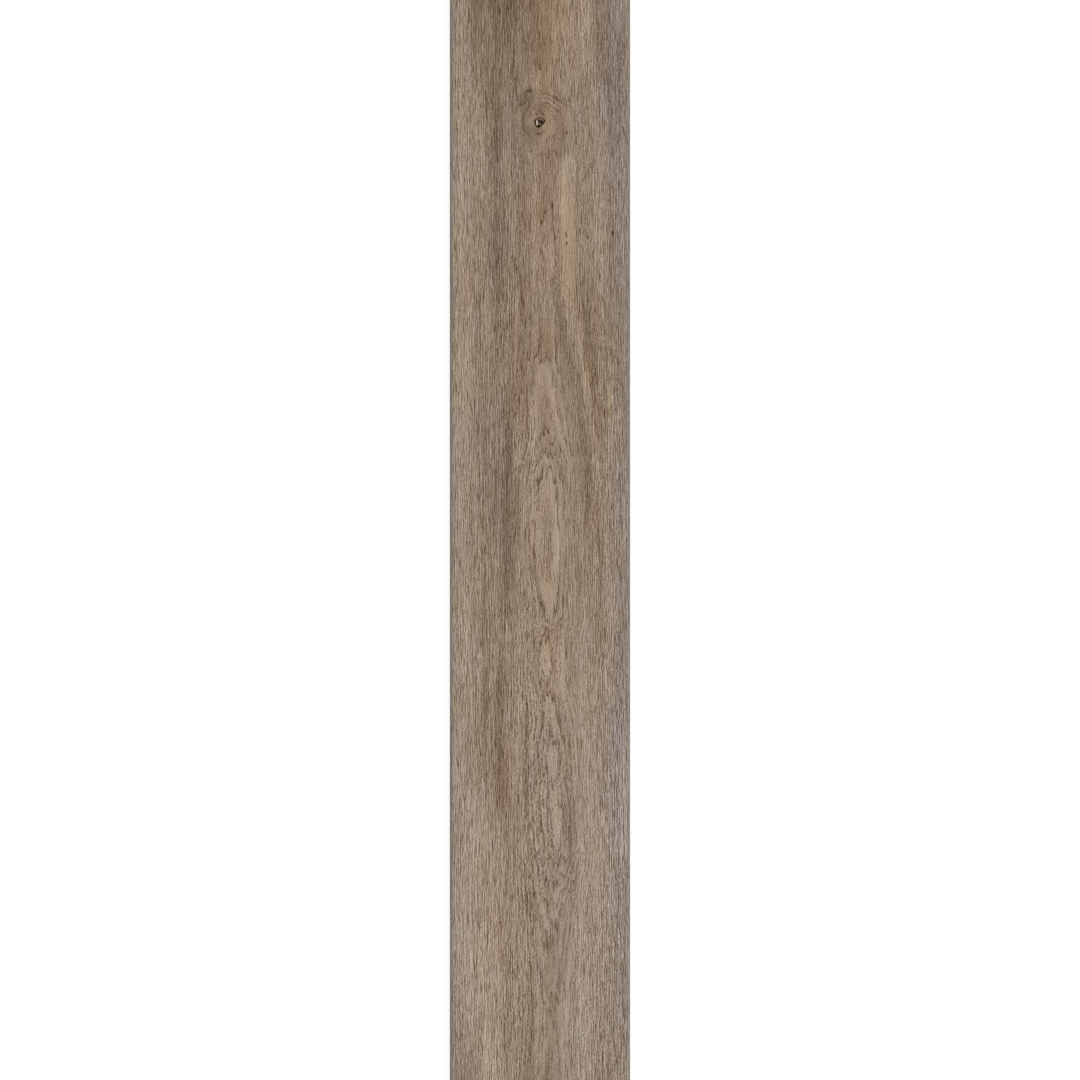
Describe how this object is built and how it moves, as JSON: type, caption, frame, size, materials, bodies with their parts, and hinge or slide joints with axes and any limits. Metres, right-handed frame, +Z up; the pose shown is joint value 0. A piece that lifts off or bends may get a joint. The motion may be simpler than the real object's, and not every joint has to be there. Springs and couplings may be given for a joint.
{
  "type": "wood look porcelain plank tile",
  "caption": "Long flat porcelain floor tile printed as weathered oak, with bevelled face edges and a shallow ribbed back that keys into the adhesive bed.",
  "frame": {"origin": "centre of the back's bearing plane, midway across and along the plank", "axes": "+X across the plank, +Y along it, towards the end with the knot, +Z up out of the wear face"},
  "size_m": [0.2, 1.2, 0.009],
  "materials": {
    "oak_print_porcelain": "matte"
  },
  "bodies": {
    "root": {"plank_tile": "oak_print_porcelain"}
  },
  "joints": []
}
